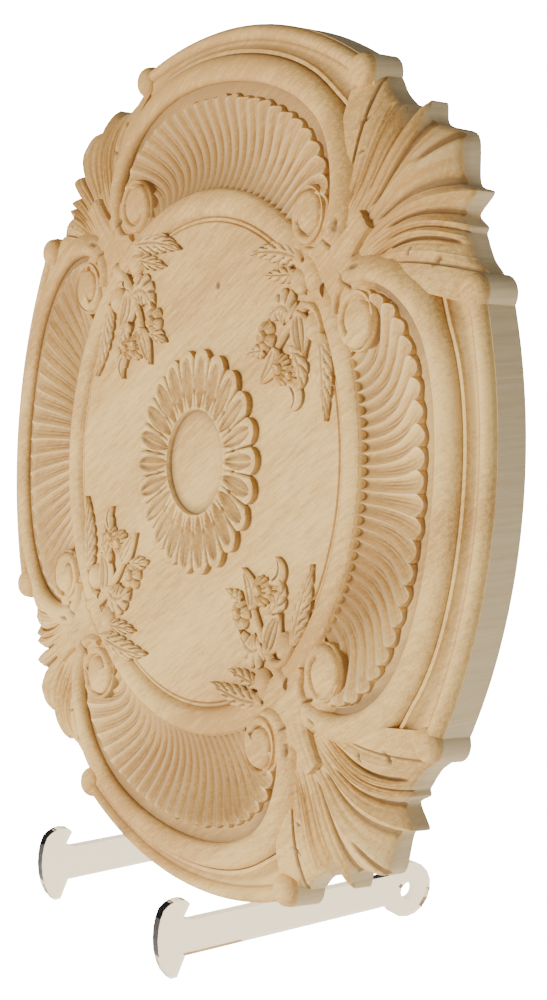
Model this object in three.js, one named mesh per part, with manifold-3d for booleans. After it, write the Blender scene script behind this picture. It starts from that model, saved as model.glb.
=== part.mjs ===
// A carved wooden ceiling medallion standing on a clear plastic display stand.
// Millimetres. X right, Z up, the carved face looks to -Y and leans back on the stand.
//
// The medallion is drawn in its own face frame first: x right, y up in the face, z out of the flat back.
// It has four equal lobes and four equal corners, so one lobe and one corner are drawn and turned.

import * as THREE from 'three';
import { mergeVertices } from 'three/addons/utils/BufferGeometryUtils.js';
import Module from 'manifold-3d';

const wasm = await Module();
wasm.setup();

const { lerp, smoothstep, degToRad } = THREE.MathUtils;

// Medallion: size across, and the heights of its surfaces over the flat back

const LOBE_REACH = 304.5;        // from the centre to the middle of a lobe's rim
const FIELD_LEVEL = 36;          // the smooth field round the rosette
const RIM_LEVEL = 22.5;          // top of the plain side wall along a lobe
const CORNER_WALL = 16;          // side wall under the corner leaves
const VOLUTE_RISE = 7;           // the rest stand over the field, or lie under it
const RING_RISE = 1.9;
const SHELL_EDGE_RISE = 4.6;
const SHELL_DIP = 7.5;
const SHELL_FOOT_DROP = 3;
const ROLL_RISE = 3;             // crest of the half-round roll that frames a lobe
const FILLET_DROP = 6;
const COVE_DROP = 10.5;
const BEAD_DROP = 8;
const PETAL_RISE = 4.8;
const SPRAY_RISE = 5;
const FLUTE_DEPTH = 2.6;
const LEAF_GROOVE = 5;
const HUSK_RISE = 5.4;
const RIB_RISE = 1.6;              // of each rib over the husk's own back

// Counts of the repeated carving

const LOBES = 4;
const FLUTES = 24;               // in each shell
const PETALS = 22;
const LEAFLETS = 7;              // in each corner fan
const HUSK_RIBS = 3;

// Stand: one flat side piece, cut from thick clear plastic

const LEG_THICKNESS = 7;
const LEG_SPACING = 170;         // between the middles of the two side pieces
const ARM_REACH_FRONT = 57;      // from the face to the back of the front stop
const ARM_HEIGHT_FRONT = 38.3;   // top edge of the arm at the front stop
const ARM_HEIGHT_BACK = 34.5;    // top edge of the arm at the back ring
const ARM_UNDERSIDE_FRONT = 14;
const ARM_UNDERSIDE_BACK = 12;
const STOP_HEIGHT = 55;
const STOP_DEPTH = 26;
const RING_FOOT_RADIUS = 20.5;
const RING_HOLE_RADIUS = 6.5;
const RING_CENTRE_BACK = 129;    // from the face to the middle of the back ring
const UPRIGHT_TOP = 262;
const UPRIGHT_DEPTH = 18;
const UPRIGHT_DEPTH_TOP = 12;
const BAR_HEIGHT = 24;           // cross bar between the uprights
const BAR_THICKNESS = 5;
const TENON_HEIGHT = 14;
const TENON_PROUD = 3;
const BAR_UP_THE_UPRIGHT = 120;  // from the arm to the middle of the cross bar
const LEAN = degToRad(6.2);
const GAP = 0.3;                 // between pieces that touch

// In the face, places are shares of the lobe's reach

const share = (part) => part * LOBE_REACH;

const RIM_ARC_CENTRE = share(-0.1182);
const RIM_ARC_RADIUS = LOBE_REACH - RIM_ARC_CENTRE;
const FIELD_RADIUS = share(0.5517);
const RING_IN = share(0.5681);
const RING_OUT = share(0.6273);
const SHELL_REACH = share(0.8342);
const SHELL_ARC_CENTRE = share(0.243);
const SHELL_CURL_START = share(0.3547);
const SHELL_CURL_RADIUS = share(0.1051);
const SHELL_CURL_END = degToRad(-14);
const SHELL_SPREAD = degToRad(27);
const ROLL_REACH = share(0.8982);
const ROLL_HALF_WIDTH = share(0.0312);
const FILLET_WIDTH = share(0.0112);
const ROLL_CURL_START = share(0.3021);
const ROLL_CURL_RADIUS = share(0.197);
const ROLL_CURL_END = degToRad(-42);
const RIM_SPREAD = degToRad(28.5);
const VOLUTE_X = share(0.3711);
const VOLUTE_Y = share(0.5727);
const VOLUTE_RADIUS = share(0.0657);
const KNOB_X = share(0.4466);
const KNOB_Y = share(0.8818);
const KNOB_RADIUS = share(0.0345);
const FAN_ROOT = share(0.4926);
const FAN_START = share(0.046);
const FAN_REACH = share(0.3678);
const FAN_SPREAD = degToRad(46);
const HUSK_START = share(0.3875);
const HUSK_END = share(0.5747);
const HUSK_HALF_WIDTH = share(0.0394);
const DISC_RADIUS = share(0.1182);
const PETAL_OUT = share(0.2578);

// Working levels, and the plain board that everything is rooted in

const RIM_LEDGE = share(0.0026);              // the board's edge stands this far outside the rim's bead
const BOARD_CORNER = share(0.8604);
const BOARD_CORNER_ANGLE = degToRad(12);   // either side of the diagonal
const SUNK = RIM_LEVEL * 0.4;              // how deep the carved solids are rooted in the body
const SHELL_FOOT = FIELD_LEVEL - SHELL_FOOT_DROP;
const FILLET_LEVEL = FIELD_LEVEL - FILLET_DROP;

const WOOD = new THREE.MeshStandardMaterial({ color: 0xd2b48c, roughness: 0.62, metalness: 0 });
const CLEAR_PLASTIC = new THREE.MeshStandardMaterial({
  color: 0xdcd8cf, roughness: 0.12, metalness: 0, transparent: true, opacity: 0.35,
});

// A closed mesh as a solid. A mirrored copy has its triangles turned right side out again.

function solid(geometry) {
  const bare = geometry.clone();
  bare.deleteAttribute('normal');
  bare.deleteAttribute('uv');
  const merged = mergeVertices(bare, 1e-4);
  const position = merged.attributes.position;
  const index = Array.from(merged.index.array);
  const corner = [new THREE.Vector3(), new THREE.Vector3(), new THREE.Vector3()];
  const kept = [];
  let volume = 0;
  for (let i = 0; i < index.length; i += 3) {
    const [a, b, c] = index.slice(i, i + 3);
    if (a === b || b === c || c === a) continue;
    corner.forEach((point, k) => point.fromBufferAttribute(position, [a, b, c][k]));
    volume += corner[0].dot(corner[1].clone().cross(corner[2]));
    kept.push(a, b, c);
  }
  if (volume < 0) kept.reverse();
  return new wasm.Manifold(new wasm.Mesh({
    numProp: 3,
    vertProperties: new Float32Array(position.array),
    triVerts: new Uint32Array(kept),
  }));
}

function geometryOf(body) {
  const mesh = body.getMesh();
  const geometry = new THREE.BufferGeometry();
  geometry.setAttribute('position', new THREE.BufferAttribute(new Float32Array(mesh.vertProperties), 3));
  geometry.setIndex(new THREE.BufferAttribute(new Uint32Array(mesh.triVerts), 1));
  return geometry;
}

// A block whose front is carved: place(u, v, front) says where each point of its front and root goes.

function carved(across, along, place) {
  const block = new THREE.BoxGeometry(1, 1, 1, across, along, 1);
  const position = block.attributes.position;
  for (let i = 0; i < position.count; i++) {
    const front = position.getZ(i) > 0;
    const point = place(position.getX(i) + 0.5, position.getY(i) + 0.5, front);
    position.setXYZ(i, ...point);
  }
  return block;
}

const MIRROR = new THREE.Matrix4().makeScale(-1, 1, 1);

function copyOf(geometry, ...matrices) {
  const copy = geometry.clone();
  for (const matrix of matrices) copy.applyMatrix4(matrix);
  return copy;
}

const quarterTurn = (k) => new THREE.Matrix4().makeRotationZ(k * Math.PI / 2);

// Four copies, one for each lobe or corner

const onEachLobe = (geometry) =>
  Array.from({ length: LOBES }, (_, k) => copyOf(geometry, quarterTurn(k)));

// One copy in each quarter, mirrored from quarter to quarter

function inEachQuarter(geometry) {
  const half = [geometry, copyOf(geometry, MIRROR)];
  return [...half, ...half.map((one) => copyOf(one, quarterTurn(2)))];
}

// Polar reach, at an angle from the lobe's axis, of an arc centred on that axis

function arcReach(centre, radius, angle) {
  return centre * Math.cos(angle) + Math.sqrt(radius ** 2 - (centre * Math.sin(angle)) ** 2);
}

// A curve along a lobe: a wide arc round the lobe that curls in at both ends. Side runs -1 to 1.

function lobeCurve(reach, centre, curlStart, curlRadius, curlEnd) {
  const radius = reach - centre;
  const half = Math.asin(curlStart / radius);
  const curlX = curlStart - curlRadius * Math.sin(half);
  const curlY = centre + (radius - curlRadius) * Math.cos(half);
  const arcLength = half * radius;
  const turn = Math.PI / 2 - half - curlEnd;
  const length = arcLength + turn * curlRadius;
  return (side) => {
    const way = Math.abs(side) * length;
    const onArc = way <= arcLength;
    const heading = onArc ? way / radius : half + (way - arcLength) / curlRadius;
    const from = onArc ? [0, centre, radius] : [curlX, curlY, curlRadius];
    const sign = Math.sign(side) || 1;
    const normal = new THREE.Vector2(sign * Math.sin(heading), Math.cos(heading));
    return {
      point: new THREE.Vector2(sign * from[0], from[1]).addScaledVector(normal, from[2]),
      normal,
      curl: Math.max(0, way - arcLength) / (length - arcLength),
    };
  };
}

const shellEdge = lobeCurve(SHELL_REACH, SHELL_ARC_CENTRE, SHELL_CURL_START, SHELL_CURL_RADIUS,
  SHELL_CURL_END);
const rollLine = lobeCurve(ROLL_REACH, RIM_ARC_CENTRE, ROLL_CURL_START, ROLL_CURL_RADIUS,
  ROLL_CURL_END);

// Body: a flat board cut to the lobed outline, as high as the side wall

function board() {
  const points = [];
  const perLobe = 14;
  for (let k = 0; k < LOBES; k++) {
    const axis = k * Math.PI / 2;
    for (let i = 0; i <= perLobe; i++) {
      const angle = lerp(-RIM_SPREAD, RIM_SPREAD, i / perLobe);
      const reach = arcReach(RIM_ARC_CENTRE, RIM_ARC_RADIUS, angle);
      points.push(new THREE.Vector2(reach, 0).rotateAround(new THREE.Vector2(), axis + angle));
    }
    for (const side of [-1, 1]) {
      const heading = axis + Math.PI / 4 + side * BOARD_CORNER_ANGLE;
      points.push(new THREE.Vector2(BOARD_CORNER, 0).rotateAround(new THREE.Vector2(), heading));
    }
  }
  const shape = new THREE.Shape(points);
  return new THREE.ExtrudeGeometry(shape, { depth: RIM_LEVEL, bevelEnabled: false });
}

// Field and ring: a turned disc, smooth inside two fine grooves, then a low flat ring

function fieldDisc() {
  const profile = [
    [0, FIELD_LEVEL],
    [FIELD_RADIUS, FIELD_LEVEL],
    [(FIELD_RADIUS + RING_IN) / 2, FIELD_LEVEL - RING_RISE],
    [RING_IN, FIELD_LEVEL + RING_RISE],
    [RING_OUT, FIELD_LEVEL + 0.6],
    [RING_OUT, SUNK],
    [0, SUNK],
  ].map(([r, z]) => new THREE.Vector2(r, z));
  const disc = new THREE.LatheGeometry(profile, 48);
  return disc.rotateX(Math.PI / 2);
}

// The ground of a crossing, between the ring and the corner fan

function crossing() {
  return carved(2, 2, (u, v, front) => {
    const along = lerp(RING_OUT - share(0.0263), share(0.8079), v);
    const across = (2 * u - 1) * lerp(share(0.2036), share(0.1314), v);
    const level = FIELD_LEVEL - (u === 0.5 ? 0.5 : 3) - v;
    return [(along - across) / Math.SQRT2, (along + across) / Math.SQRT2, front ? level : SUNK];
  });
}

// Shell: flutes fan out from the ring, curl round the volutes and end in a scalloped edge

function shellPanel() {
  return carved(2 * FLUTES, 2, (u, v, front) => {
    const side = 2 * u - 1;
    const ridge = Math.round(u * 2 * FLUTES) % 2 === 0 ? 1 : 0;
    const heading = side * SHELL_SPREAD;
    const start = new THREE.Vector2(Math.sin(heading), Math.cos(heading));
    const control = start.clone().multiplyScalar(RING_OUT + share(0.0854));
    start.multiplyScalar(RING_OUT - share(0.0033));
    const edge = shellEdge(side);
    const end = edge.point.addScaledVector(edge.normal, ridge ? -share(0.0099) : share(0.0033));
    const point = new THREE.QuadraticBezierCurve(start, control, end).getPoint(v);
    const cove = Math.sin(Math.PI * v ** 0.85);
    const rim = lerp(FIELD_LEVEL + 0.4, FIELD_LEVEL + SHELL_EDGE_RISE, v);
    const groove = ridge || v === 0 ? 0 : FLUTE_DEPTH * (v === 1 ? 0.5 : 1);
    return [point.x, point.y, front ? rim - SHELL_DIP * cove - groove : SUNK];
  });
}

// Frame of one lobe: the ground behind the shell, the roll with its fillet, which curls in at both ends,
// then a cove and a bead down to the side wall

function lobeFrame() {
  const rollSteps = 3;
  const afterRoll = 2 + rollSteps;
  const rimOffsets = [share(0.0427), share(0.0246), share(0.0131), RIM_LEDGE];
  const bead = FIELD_LEVEL - BEAD_DROP;
  const rimLevels = [FIELD_LEVEL - COVE_DROP, bead, bead - 0.8, RIM_LEVEL - 0.5];
  const rows = afterRoll + 1 + rimOffsets.length;
  const crest = FIELD_LEVEL + ROLL_RISE - (SHELL_FOOT + FILLET_LEVEL) / 2;
  return carved(24, rows, (u, v, front) => {
    const side = 2 * u - 1;
    const row = Math.round(v * rows);
    const line = rollLine(side);
    if (row === 0) {
      const { point, normal } = shellEdge(side);
      point.addScaledVector(normal, -share(0.0164));
      return [point.x, point.y, front ? SHELL_FOOT : SUNK];
    }
    if (row > afterRoll + 1) {
      const place = row - afterRoll - 2;
      const angle = RIM_SPREAD * Math.sign(side) * Math.min(1, Math.abs(side) * 1.35);
      const reach = arcReach(RIM_ARC_CENTRE, RIM_ARC_RADIUS - rimOffsets[place], angle);
      return [reach * Math.sin(angle), reach * Math.cos(angle), front ? rimLevels[place] : SUNK];
    }
    const step = row - 1;
    const width = ROLL_HALF_WIDTH * (1 - 0.35 * line.curl ** 3);
    const part = Math.min(step, rollSteps) / rollSteps;
    const onFillet = step > rollSteps;
    const across = onFillet
      ? width + (step - rollSteps === 1 ? 0.4 : FILLET_WIDTH)
      : -width * Math.cos(Math.PI * part);
    const level = onFillet
      ? FILLET_LEVEL + 0.5 - 5 * smoothstep(line.curl, 0, 0.4)
      : lerp(SHELL_FOOT, FILLET_LEVEL - 1.5, part) + crest * Math.sin(Math.PI * part);
    const point = line.point.addScaledVector(line.normal, across);
    return [point.x, point.y, front ? level : SUNK];
  });
}

// Volute: a button whose top winds down like a snail, from its eye out to its foot

function volute() {
  const top = FIELD_LEVEL + VOLUTE_RISE;
  const profile = [[0, 0], [0.3, 0.5], [0.42, 3], [0.8, 1.6], [1, 4.5], [1, top - SUNK], [0, top - SUNK]]
    .map(([r, drop]) => new THREE.Vector2(r * VOLUTE_RADIUS, top - drop));
  const snail = new THREE.LatheGeometry(profile, 10);
  snail.rotateX(Math.PI / 2);
  const position = snail.attributes.position;
  for (let i = 0; i < position.count; i++) {
    const x = position.getX(i);
    const y = position.getY(i);
    const r = Math.hypot(x, y);
    const turn = ((Math.atan2(y, x) + 2.6) / (2 * Math.PI) + 1) % 1;
    const wound = r < 0.9 * VOLUTE_RADIUS && r > 0.1 * VOLUTE_RADIUS ? lerp(0.75, 1.2, turn) : 1;
    position.setXY(i, VOLUTE_X + x * wound, VOLUTE_Y + y * wound);
  }
  return snail;
}

// Knob: the rolled end of a lobe's rim

function rimKnob() {
  const crown = FIELD_LEVEL - BEAD_DROP + 1;
  const profile = [[0, crown - 3], [0.55, crown], [1, RIM_LEVEL - 1], [1, 0], [0, 0]]
    .map(([r, z]) => new THREE.Vector2(r * KNOB_RADIUS, z));
  const knob = new THREE.LatheGeometry(profile, 6);
  knob.rotateX(Math.PI / 2);
  knob.translate(KNOB_X, KNOB_Y, 0);
  return knob;
}

// Corner fan: leaflets that spring from the husk's end and droop to their tips. The middle one is the
// broadest, and each has a crest between its two notches

function cornerFan() {
  const columns = 2 * LEAFLETS;
  const bunching = 0.7;
  const notchReach = 0.88;
  return carved(columns, 3, (u, v, front) => {
    const crest = Math.round(u * columns) % 2;
    const side = 2 * u - 1;
    const heading = Math.PI / 4 - Math.sign(side) * Math.abs(side) ** bunching * FAN_SPREAD;
    const tip = FAN_REACH * (1 - 0.06 * Math.abs(side)) * (crest ? 1 : notchReach);
    const r = lerp(FAN_START, tip, v);
    const fall = lerp(FIELD_LEVEL - 1, CORNER_WALL + 1, v ** 2);
    const swell = 3.5 * Math.sin(Math.PI * Math.min(1, v * 1.15));
    const groove = crest ? 0 : LEAF_GROOVE * smoothstep(v, 0, 0.3);
    const root = v < 0.3 ? SUNK : 0;
    const level = Math.max(fall + swell - groove, CORNER_WALL * 0.6);
    return [FAN_ROOT + r * Math.cos(heading), FAN_ROOT + r * Math.sin(heading), front ? level : root];
  });
}

// Husk: the ribbed strap on the diagonal that ends squarely over the fan

function husk() {
  const columns = 2 * HUSK_RIBS;
  return carved(columns, 2, (u, v, front) => {
    const column = Math.round(u * columns);
    const along = lerp(HUSK_START, HUSK_END, v) * Math.SQRT2;
    const across = (2 * u - 1) * HUSK_HALF_WIDTH * lerp(1.25, 0.75, v);
    const rib = column % 2 ? RIB_RISE : 0;
    const edge = column % columns ? 0 : RIB_RISE;
    const level = FIELD_LEVEL + HUSK_RISE * v ** 0.8 + rib - edge;
    return [(along - across) / Math.SQRT2, (along + across) / Math.SQRT2, front ? level : SUNK];
  });
}

// Rosette: a plain disc in a ring of round-ended petals

function rosette() {
  const columns = 3;
  const rows = [
    [0, 0.4],
    [DISC_RADIUS, 0.4],
    [DISC_RADIUS + share(0.0131), PETAL_RISE * 0.9],
    [PETAL_OUT - share(0.0296), PETAL_RISE],
    [PETAL_OUT, PETAL_RISE - 1],
    [PETAL_OUT, -3],
    [0, -3],
  ];
  const profile = rows.map(([r, rise]) => new THREE.Vector2(r, FIELD_LEVEL + rise));
  const lathe = new THREE.LatheGeometry(profile, PETALS * columns);
  lathe.rotateX(Math.PI / 2);
  const position = lathe.attributes.position;
  for (let i = 0; i < position.count; i++) {
    const column = Math.floor(i / rows.length) % columns;
    const row = i % rows.length;
    if (column !== 0 || row < 3 || row > 5) continue;
    const shrink = row >= 4 ? (PETAL_OUT - share(0.0263)) / PETAL_OUT : 1;
    const drop = row < 5 ? PETAL_RISE - 1.2 : 0;
    position.setXYZ(i, position.getX(i) * shrink, position.getY(i) * shrink, position.getZ(i) - drop);
  }
  return lathe;
}

// Sprays: flowers, leaves and balls that grow from the husk into the field

const at = (x, y) => new THREE.Vector2(share(x), share(y));

function sprayLeaf(from, control, to, halfWidth, rise) {
  const curve = new THREE.QuadraticBezierCurve(from, control, to);
  return carved(2, 2, (u, v, front) => {
    const tangent = curve.getTangent(v);
    const swell = halfWidth * Math.max(0.25, Math.sin(Math.PI * (0.15 + 0.75 * v)));
    const point = curve.getPoint(v).addScaledVector(new THREE.Vector2(tangent.y, -tangent.x),
      (2 * u - 1) * swell);
    const crown = u === 0.5 ? rise * (1 - 0.35 * v) : rise * 0.3;
    return [point.x, point.y, FIELD_LEVEL + (front ? crown : -3)];
  });
}

function button(x, y, radius, rise, sides) {
  const profile = [[0, rise], [radius * 0.7, rise * 0.8], [radius, -3], [0, -3]]
    .map(([r, z]) => new THREE.Vector2(r, FIELD_LEVEL + z));
  const dome = new THREE.LatheGeometry(profile, sides);
  dome.rotateX(Math.PI / 2);
  dome.translate(share(x), share(y), 0);
  return dome;
}

function sprayPieces() {
  return [
    sprayLeaf(at(0.3941, 0.3941), at(0.3415, 0.3547), at(0.2627, 0.2627), share(0.0099), SPRAY_RISE),
    sprayLeaf(at(0.3481, 0.3547), at(0.3153, 0.4007), at(0.2496, 0.3481), share(0.0263), SPRAY_RISE),
    sprayLeaf(at(0.3021, 0.3021), at(0.2562, 0.3021), at(0.1905, 0.2627), share(0.023), SPRAY_RISE),
    sprayLeaf(at(0.3415, 0.3153), at(0.3875, 0.243), at(0.3678, 0.1708), share(0.023), SPRAY_RISE),
    button(0.3087, 0.2365, share(0.0361), SPRAY_RISE, 7),
    button(0.3448, 0.4368, share(0.0312), SPRAY_RISE + 1, 7),
    button(0.4269, 0.3415, share(0.0312), SPRAY_RISE + 1, 7),
    sprayLeaf(at(0.3415, 0.4663), at(0.2627, 0.4926), at(0.1511, 0.4729), share(0.023), SPRAY_RISE),
    sprayLeaf(at(0.4532, 0.3284), at(0.4729, 0.2627), at(0.4926, 0.1576), share(0.023), SPRAY_RISE),
  ];
}

function medallion() {
  const pairs = [volute(), rimKnob()];
  const pieces = [
    fieldDisc(),
    rosette(),
    ...onEachLobe(crossing()),
    ...onEachLobe(shellPanel()),
    ...onEachLobe(lobeFrame()),
    ...pairs.flatMap((one) => [...onEachLobe(one), ...onEachLobe(copyOf(one, MIRROR))]),
    ...onEachLobe(cornerFan()),
    ...onEachLobe(husk()),
    ...sprayPieces().flatMap(inEachQuarter),
  ];
  return geometryOf(pieces.reduce((body, piece) => body.add(solid(piece)), solid(board())));
}

// Where the leaning medallion stands: its lower back edge rests on the arms, measured at the legs' inside

const restX = LEG_SPACING / 2 - LEG_THICKNESS / 2;
const backEdge = -(RIM_ARC_CENTRE + Math.sqrt(RIM_ARC_RADIUS ** 2 - restX ** 2));
const FACE_LEVEL = FIELD_LEVEL + VOLUTE_RISE;
const armLength = ARM_REACH_FRONT + RING_CENTRE_BACK;
const armTop = (y) => lerp(ARM_HEIGHT_FRONT, ARM_HEIGHT_BACK, (y + ARM_REACH_FRONT) / armLength);
const edgeY = backEdge * Math.sin(LEAN) + FACE_LEVEL * Math.cos(LEAN);
const MEDALLION_HEIGHT = armTop(edgeY) + GAP - backEdge * Math.cos(LEAN) + FACE_LEVEL * Math.sin(LEAN);

// A point of the upright's front, a way up from the medallion's lower back edge

function upright(way, depth) {
  const out = GAP / Math.cos(LEAN) + depth;
  return [edgeY + way * Math.sin(LEAN) + out * Math.cos(LEAN),
    armTop(edgeY) + way * Math.cos(LEAN) - out * Math.sin(LEAN)];
}

function legShape() {
  const stopBack = -ARM_REACH_FRONT;
  const stopFront = stopBack - STOP_DEPTH;
  const uprightWay = (UPRIGHT_TOP - armTop(edgeY)) / Math.cos(LEAN);
  const shape = new THREE.Shape();
  shape.moveTo(stopBack - STOP_DEPTH * 0.56, 0);
  shape.lineTo(stopBack - STOP_DEPTH * 0.36, 0);
  shape.lineTo(stopBack - STOP_DEPTH * 0.1, ARM_UNDERSIDE_FRONT);
  const ringLow = Math.asin((RING_FOOT_RADIUS - ARM_UNDERSIDE_BACK) / RING_FOOT_RADIUS);
  const ringHigh = Math.asin((ARM_HEIGHT_BACK - RING_FOOT_RADIUS) / RING_FOOT_RADIUS);
  shape.absarc(RING_CENTRE_BACK, RING_FOOT_RADIUS, RING_FOOT_RADIUS, Math.PI + ringLow,
    3 * Math.PI - ringHigh, false);
  const foot = upright(0, UPRIGHT_DEPTH);
  shape.lineTo(foot[0] + 6, armTop(foot[0] + 6));
  shape.lineTo(...upright(8, UPRIGHT_DEPTH));
  shape.lineTo(...upright(uprightWay - 5, UPRIGHT_DEPTH_TOP));
  shape.lineTo(...upright(uprightWay, UPRIGHT_DEPTH_TOP - 4));
  shape.lineTo(...upright(uprightWay, 3));
  shape.lineTo(...upright(uprightWay - 3, 0));
  const inner = upright(0, 0);
  shape.lineTo(inner[0], armTop(inner[0]));
  shape.lineTo(stopBack + 3, armTop(stopBack + 3));
  shape.lineTo(stopBack - STOP_DEPTH * 0.16, ARM_HEIGHT_FRONT + 2.5);
  shape.lineTo(stopBack + STOP_DEPTH * 0.06, STOP_HEIGHT - 5);
  shape.bezierCurveTo(stopBack - STOP_DEPTH * 0.02, STOP_HEIGHT,
    stopBack - STOP_DEPTH * 0.45, STOP_HEIGHT * 1.03, stopBack - STOP_DEPTH * 0.74, STOP_HEIGHT * 0.9);
  shape.bezierCurveTo(stopFront, STOP_HEIGHT * 0.7, stopFront - 1, STOP_HEIGHT * 0.22,
    stopBack - STOP_DEPTH * 0.56, 0);
  shape.closePath();
  const hole = new THREE.Path();
  hole.absarc(RING_CENTRE_BACK, RING_FOOT_RADIUS - 1, RING_HOLE_RADIUS, 0, 2 * Math.PI, true);
  shape.holes.push(hole, barSlot());
  return shape;
}

// Middle of the cross bar, and the slot that its tenon passes through

const barDepth = GAP + BAR_THICKNESS / 2 + (UPRIGHT_DEPTH_TOP - BAR_THICKNESS) / 2;

function barSlot() {
  const slot = new THREE.Path();
  const halfHeight = TENON_HEIGHT / 2 + GAP;
  const halfDepth = BAR_THICKNESS / 2 + GAP;
  slot.moveTo(...upright(BAR_UP_THE_UPRIGHT - halfHeight, barDepth - halfDepth));
  slot.lineTo(...upright(BAR_UP_THE_UPRIGHT - halfHeight, barDepth + halfDepth));
  slot.lineTo(...upright(BAR_UP_THE_UPRIGHT + halfHeight, barDepth + halfDepth));
  slot.lineTo(...upright(BAR_UP_THE_UPRIGHT + halfHeight, barDepth - halfDepth));
  slot.closePath();
  return slot;
}

// Shapes of the stand are drawn from the side: their x runs back, their y up, their depth across

const fromTheSide = new THREE.Matrix4().makeBasis(
  new THREE.Vector3(0, 1, 0), new THREE.Vector3(0, 0, 1), new THREE.Vector3(1, 0, 0));

function leg() {
  const plate = new THREE.ExtrudeGeometry(legShape(),
    { depth: LEG_THICKNESS, bevelEnabled: false, curveSegments: 7 });
  plate.translate(0, 0, -LEG_THICKNESS / 2);
  return plate.applyMatrix4(fromTheSide);
}

function crossbar() {
  const inside = LEG_SPACING - LEG_THICKNESS - 2 * GAP;
  const over = LEG_SPACING + LEG_THICKNESS + 2 * TENON_PROUD;
  const bar = solid(new THREE.BoxGeometry(inside, BAR_THICKNESS, BAR_HEIGHT));
  const tenons = solid(new THREE.BoxGeometry(over, BAR_THICKNESS, TENON_HEIGHT));
  return geometryOf(bar.add(tenons));
}

// The whole object, with its origin on the ground in the middle of its box

const stand = new THREE.Group();
const frontmost = Math.min(...legShape().getPoints(10).map((point) => point.x));
const backmost = RING_CENTRE_BACK + RING_FOOT_RADIUS;
stand.position.y = -(frontmost + backmost) / 2;

const face = new THREE.Mesh(medallion(), WOOD);
face.name = 'medallion';
face.rotation.x = Math.PI / 2 - LEAN;
face.position.set(0, FACE_LEVEL * Math.cos(LEAN), MEDALLION_HEIGHT - FACE_LEVEL * Math.sin(LEAN));
stand.add(face);

for (const [name, side] of [['stand_leg_left', -1], ['stand_leg_right', 1]]) {
  const piece = new THREE.Mesh(leg(), CLEAR_PLASTIC);
  piece.name = name;
  piece.position.x = side * LEG_SPACING / 2;
  stand.add(piece);
}

const bar = new THREE.Mesh(crossbar(), CLEAR_PLASTIC);
bar.name = 'stand_crossbar';
bar.rotation.x = -LEAN;
bar.position.set(0, ...upright(BAR_UP_THE_UPRIGHT, barDepth));
stand.add(bar);

const group = new THREE.Group();
group.add(stand);

export default group;
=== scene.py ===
"""A carved wooden ceiling medallion that leans on a clear plastic display stand.

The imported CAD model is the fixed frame. Every carved part of the medallion is drawn here again, finer,
in the plane of its own face (millimetres: x right, y up the face, w out of the flat back), and is then
set on the CAD medallion's back. The stand keeps its CAD solids and gets its material.
"""

from math import cos, pi, radians, sin

import bmesh
import bpy
import numpy as np
from bpy.props import FloatProperty, FloatVectorProperty, IntProperty, PointerProperty, StringProperty
from mathutils import Matrix, Vector


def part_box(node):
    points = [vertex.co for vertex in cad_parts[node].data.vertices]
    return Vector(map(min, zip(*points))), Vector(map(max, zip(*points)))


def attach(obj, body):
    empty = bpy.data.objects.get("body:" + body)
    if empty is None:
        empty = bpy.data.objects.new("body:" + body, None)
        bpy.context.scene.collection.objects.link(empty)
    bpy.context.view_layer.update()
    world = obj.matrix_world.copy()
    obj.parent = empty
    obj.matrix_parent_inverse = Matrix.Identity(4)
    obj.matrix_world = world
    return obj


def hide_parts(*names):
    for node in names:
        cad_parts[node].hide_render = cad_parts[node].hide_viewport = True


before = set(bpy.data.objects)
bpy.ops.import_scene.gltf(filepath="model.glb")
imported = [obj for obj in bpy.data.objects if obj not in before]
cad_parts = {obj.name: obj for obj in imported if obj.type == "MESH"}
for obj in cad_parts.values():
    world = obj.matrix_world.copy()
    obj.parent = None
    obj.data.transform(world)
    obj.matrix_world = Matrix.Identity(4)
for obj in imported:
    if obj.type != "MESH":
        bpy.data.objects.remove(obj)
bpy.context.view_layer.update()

bl_info = {
    "name": "Carved ceiling medallion",
    "version": (1, 0, 0),
    "blender": (4, 5, 0),
    "location": "3D View > Sidebar > Medallion",
    "description": "Carved ceiling medallion with shell lobes and leaf fans on a clear stand",
    "category": "Object",
}

# Where the medallion is: its lower back edge and its upper back edge touch the CAD solid's box.

LOW, HIGH = (Vector(corner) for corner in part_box("medallion"))
LEAN = radians(6.2)
REACH = (HIGH.x - LOW.x) / 2
DRAWN_REACH = 304.5  # the face is drawn this many units from its centre to a lobe's rim
BACK_CENTRE = Vector((0, HIGH.y - REACH * sin(LEAN), LOW.z + REACH * cos(LEAN)))
FACE = Matrix.Translation(BACK_CENTRE) @ Matrix(
    ((1, 0, 0, 0), (0, sin(LEAN), -cos(LEAN), 0), (0, cos(LEAN), sin(LEAN), 0), (0, 0, 0, 1))
) @ Matrix.Scale(REACH / DRAWN_REACH, 4)

# Heights over the back and a depth, in the face's units

FACE_TOP = 43.0  # the volutes' eyes, the highest of the carving
FIELD = 36.0
FIELD_FOOT = FIELD - 3  # foot of what lies on the field, just inside it
SHELL_FOOT = 33.0  # foot of the cliff under a shell's edge
RIM = 21.5  # top of the plain side wall
SUNK = 9.0  # foot of the other forms, inside the board
ROOT = 0.25  # the fans' and knobs' own backs, just inside the board's
KNIFE_DEPTH = 4.0  # of the short cuts beside a corner's husk

# Places from the face's centre. A lobe is drawn upwards, and a corner up to the right

RIM_ARC_BEYOND = 36.0  # a lobe's rim is an arc about a point this far beyond the centre
RIM_SPREAD = radians(28.5)  # half of the angle that a rim takes
DISC_RADIUS = 36.0  # the sunk disc in the rosette
VOLUTE = (112.0, 175.4)  # its middle
RIM_END = (136.0, 268.5)  # middle of the knob at a rim's end
KNOT = (6, 124)
DIAGONAL = 2**0.5  # of a square whose side is 1

# The stage, in metres, with the camera's lens in millimetres

CAMERA_PLACE = (1.1643, -0.7346, 0.549)
CAMERA_TURN = (radians(79.92), 0, radians(56.5))
CAMERA_LENS = 70.62
MIDDLE = (0, 0, 0.32)
FLOOR_REACH = 12

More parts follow.
